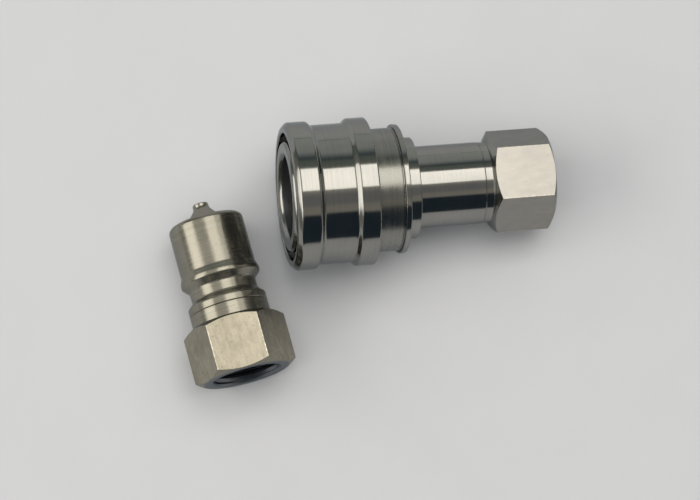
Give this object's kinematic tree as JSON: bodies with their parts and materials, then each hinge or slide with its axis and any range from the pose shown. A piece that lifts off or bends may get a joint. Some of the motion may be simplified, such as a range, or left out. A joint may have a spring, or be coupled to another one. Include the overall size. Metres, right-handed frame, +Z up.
{
  "type": "quick coupling",
  "caption": "Two-part quick coupling for hydraulic hose: a socket with a pull-back sleeve over locking balls, and a plug with a ball groove, both with hexagon ends and pipe threads.",
  "frame": {"origin": "on the table under the middle of both halves", "axes": "+X along the table from the socket's mouth to its threaded end, +Z up"},
  "size_m": [0.0954, 0.0612, 0.0387],
  "materials": {
    "socket_steel": "turned, satin",
    "sleeve_steel": "turned, satin",
    "plug_steel": "turned, worn satin",
    "valve_steel": "turned",
    "spring_steel": "drawn wire",
    "guide_steel": "pressed",
    "ball_steel": "ground and polished",
    "seal_rubber": "moulded, matt",
    "backup_plastic": "cut, white"
  },
  "bodies": {
    "socket": {"socket_body": "socket_steel", "adapter": "socket_steel", "adapter_o_ring": "seal_rubber", "nose_o_ring": "seal_rubber", "backup_ring": "backup_plastic", "socket_valve_guide": "guide_steel", "sleeve_spring": "spring_steel", "socket_valve_spring": "spring_steel"},
    "retaining_ring": {"sleeve_retaining_ring": "spring_steel"},
    "sleeve": {"sleeve": "sleeve_steel"},
    "socket_valve": {"socket_valve": "valve_steel", "socket_valve_seal": "seal_rubber"},
    "plug": {"plug_body": "plug_steel", "plug_valve_guide": "guide_steel", "plug_guide_retaining_ring": "spring_steel", "plug_valve_spring": "spring_steel"},
    "plug_valve": {"plug_valve": "valve_steel", "plug_valve_seal": "seal_rubber"},
    "ball_1": {"ball_1": "ball_steel"},
    "ball_2": {"ball_2": "ball_steel"},
    "ball_3": {"ball_3": "ball_steel"},
    "ball_4": {"ball_4": "ball_steel"},
    "ball_5": {"ball_5": "ball_steel"},
    "ball_6": {"ball_6": "ball_steel"},
    "ball_7": {"ball_7": "ball_steel"},
    "ball_8": {"ball_8": "ball_steel"}
  },
  "joints": [
    {"name": "sleeve_turn", "type": "hinge", "parent": "socket", "child": "retaining_ring", "pos_m": [-0.01615, 0.01254, 0.02062], "axis": [0.9879, 0, -0.1552], "continuous": true},
    {"name": "sleeve_slide", "type": "slide", "parent": "retaining_ring", "child": "sleeve", "axis": [0.9879, 0, -0.1552], "range_m": [0, 0.005], "stiffness_N_per_m": 1800, "springref_m": -0.004, "deforming": ["sleeve_spring"]},
    {"name": "socket_valve_slide", "type": "slide", "parent": "socket", "child": "socket_valve", "axis": [0.9879, 0, -0.1552], "range_m": [0, 0.0034], "stiffness_N_per_m": 200, "springref_m": -0.004, "deforming": ["socket_valve_spring"]},
    {"name": "plug_align", "type": "hinge", "parent": "socket", "child": "plug", "pos_m": [-0.02825, 0.0253, 0.01543], "axis": [-0.6435, -0.7621, 0.0715], "range_deg": [0, 170.32]},
    {"name": "plug_valve_slide", "type": "slide", "parent": "plug", "child": "plug_valve", "axis": [0.1673, -0.9837, 0.0653], "range_m": [0, 0.0034], "stiffness_N_per_m": 200, "springref_m": -0.004, "deforming": ["plug_valve_spring"]},
    {"name": "ball_1_slide", "type": "slide", "parent": "socket", "child": "ball_1", "axis": [0.1552, 0, 0.9879], "range_m": [0, 0.00125]},
    {"name": "ball_2_slide", "type": "slide", "parent": "socket", "child": "ball_2", "axis": [0.1098, 0.7071, 0.6985], "range_m": [0, 0.00125]},
    {"name": "ball_3_slide", "type": "slide", "parent": "socket", "child": "ball_3", "axis": [0, 1, 0], "range_m": [0, 0.00125]},
    {"name": "ball_4_slide", "type": "slide", "parent": "socket", "child": "ball_4", "axis": [-0.1098, 0.7071, -0.6985], "range_m": [0, 0.00125]},
    {"name": "ball_5_slide", "type": "slide", "parent": "socket", "child": "ball_5", "axis": [-0.1552, 0, -0.9879], "range_m": [0, 0.00125]},
    {"name": "ball_6_slide", "type": "slide", "parent": "socket", "child": "ball_6", "axis": [-0.1098, -0.7071, -0.6985], "range_m": [0, 0.00125]},
    {"name": "ball_7_slide", "type": "slide", "parent": "socket", "child": "ball_7", "axis": [0, -1, 0], "range_m": [0, 0.00125]},
    {"name": "ball_8_slide", "type": "slide", "parent": "socket", "child": "ball_8", "axis": [0.1098, -0.7071, 0.6985], "range_m": [0, 0.00125]}
  ],
  "couplings": [
    {"joint": "ball_1_slide", "follows": "sleeve_slide", "ratio": 0.25},
    {"joint": "ball_2_slide", "follows": "sleeve_slide", "ratio": 0.25},
    {"joint": "ball_3_slide", "follows": "sleeve_slide", "ratio": 0.25},
    {"joint": "ball_4_slide", "follows": "sleeve_slide", "ratio": 0.25},
    {"joint": "ball_5_slide", "follows": "sleeve_slide", "ratio": 0.25},
    {"joint": "ball_6_slide", "follows": "sleeve_slide", "ratio": 0.25},
    {"joint": "ball_7_slide", "follows": "sleeve_slide", "ratio": 0.25},
    {"joint": "ball_8_slide", "follows": "sleeve_slide", "ratio": 0.25}
  ]
}
